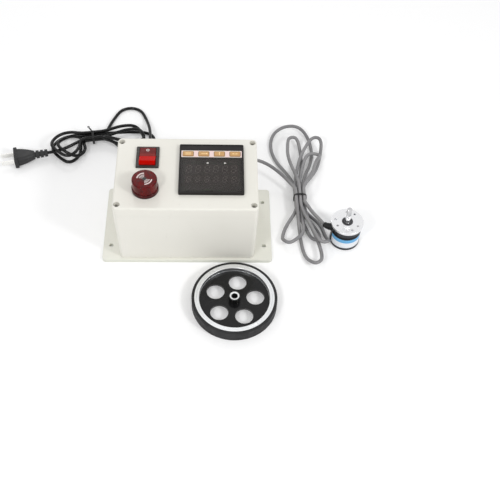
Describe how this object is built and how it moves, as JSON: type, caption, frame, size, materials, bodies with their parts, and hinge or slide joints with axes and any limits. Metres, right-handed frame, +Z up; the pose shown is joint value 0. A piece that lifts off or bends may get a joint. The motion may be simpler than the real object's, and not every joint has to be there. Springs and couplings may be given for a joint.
{
  "type": "cable length counter",
  "caption": "Boxed length counter with panel meter, rocker switch and alarm lamp, shaft encoder and mains plug on bundled cords, and a loose rubber-tyred measuring wheel.",
  "frame": {"origin": "centre of the enclosure's underside, where its flange stands on the bench", "axes": "+X to the right along the flange, +Y away from the side with the wheel towards the wall the cords leave, +Z up out of the lid"},
  "size_m": [0.4408, 0.3565, 0.1118],
  "materials": {
    "enclosure": "fine moulded grain, satin",
    "seal": "soft matte",
    "steel": "zinc plated",
    "black_plastic": "fine moulded grain",
    "rocker_red": "translucent, lightly grained",
    "brass": "plated",
    "lamp_red": "dark translucent",
    "sounder": "silver",
    "black_rubber": "matte",
    "smoked_window": "smoked acrylic, gloss",
    "strip_film": "printed film",
    "key_orange": "soft satin",
    "digit_grey": "dark display glass",
    "board_green": "solder mask",
    "core": "varnished laminations",
    "encoder_metal": "fine turned",
    "encoder_label": "printed film",
    "bearing_steel": "ground",
    "wheel_black": "black anodised, satin, bare turned edges",
    "tyre_black": "matte",
    "mains_jacket": "smooth, slightly glossy",
    "sensor_jacket": "smooth satin"
  },
  "bodies": {
    "housing": {"enclosure_base": "enclosure", "enclosure_lid": "enclosure", "lid_seal": "seal", "lid_screws": "steel", "rocker_frame": "black_plastic", "switch_terminals": "brass", "buzzer_base": "lamp_red", "buzzer_cap": "lamp_red", "buzzer_sounder": "sounder", "buzzer_gasket": "black_rubber", "buzzer_nut": "black_plastic", "buzzer_terminals": "brass", "meter_bezel": "black_plastic", "meter_window": "smoked_window", "key_strip": "strip_film", "meter_case": "black_plastic", "meter_display_board": "board_green", "meter_upper_digits": "digit_grey", "meter_lower_digits": "digit_grey", "meter_key_switches": "black_plastic", "meter_power_board": "board_green", "meter_transformer": "core", "meter_terminal_block": "black_plastic", "meter_terminal_screws": "steel", "meter_clamps": "steel", "mains_bush": "black_rubber", "sensor_bush": "black_rubber", "encoder_flange": "encoder_metal", "encoder_screws": "steel", "encoder_body": "encoder_metal", "encoder_label": "encoder_label", "encoder_gland": "black_rubber", "encoder_bearings": "bearing_steel", "encoder_circuit_board": "board_green", "encoder_pickup": "black_plastic", "mains_cord_lead": "mains_jacket", "mains_cord_hank": "mains_jacket", "mains_cord_tail": "mains_jacket", "mains_tie": "black_plastic", "plug_body": "black_rubber", "plug_blades": "brass", "sensor_cord_lead": "sensor_jacket", "sensor_cord_hank": "sensor_jacket", "sensor_cord_tail": "sensor_jacket", "sensor_tie": "black_plastic"},
    "rocker": {"rocker_button": "rocker_red"},
    "key_1": {"meter_key_1": "key_orange"},
    "key_2": {"meter_key_2": "key_orange"},
    "key_3": {"meter_key_3": "key_orange"},
    "key_4": {"meter_key_4": "key_orange"},
    "encoder_rotor": {"encoder_shaft": "steel", "encoder_disc_hub": "brass", "encoder_code_disc": "steel"},
    "wheel": {"wheel_disc": "wheel_black", "wheel_tyre": "tyre_black", "wheel_set_screws": "steel"}
  },
  "joints": [
    {"name": "rocker_press", "type": "hinge", "parent": "housing", "child": "rocker", "pos_m": [-0.044, 0.0215, 0.0964], "axis": [1, 0, 0], "range_deg": [0, 20]},
    {"name": "key_1_press", "type": "slide", "parent": "housing", "child": "key_1", "axis": [0, 0, -1], "range_m": [0, 0.0008], "stiffness_N_per_m": 500},
    {"name": "key_2_press", "type": "slide", "parent": "housing", "child": "key_2", "axis": [0, 0, -1], "range_m": [0, 0.0008], "stiffness_N_per_m": 500},
    {"name": "key_3_press", "type": "slide", "parent": "housing", "child": "key_3", "axis": [0, 0, -1], "range_m": [0, 0.0008], "stiffness_N_per_m": 500},
    {"name": "key_4_press", "type": "slide", "parent": "housing", "child": "key_4", "axis": [0, 0, -1], "range_m": [0, 0.0008], "stiffness_N_per_m": 500},
    {"name": "encoder_turn", "type": "hinge", "parent": "housing", "child": "encoder_rotor", "pos_m": [0.1855, -0.0179, 0.033], "axis": [0, 0, 1], "continuous": true},
    {"name": "wheel_roll", "type": "hinge", "parent": "housing", "child": "wheel", "pos_m": [0.05375, -0.1109, 0.007], "axis": [0, 0, 1], "continuous": true}
  ]
}
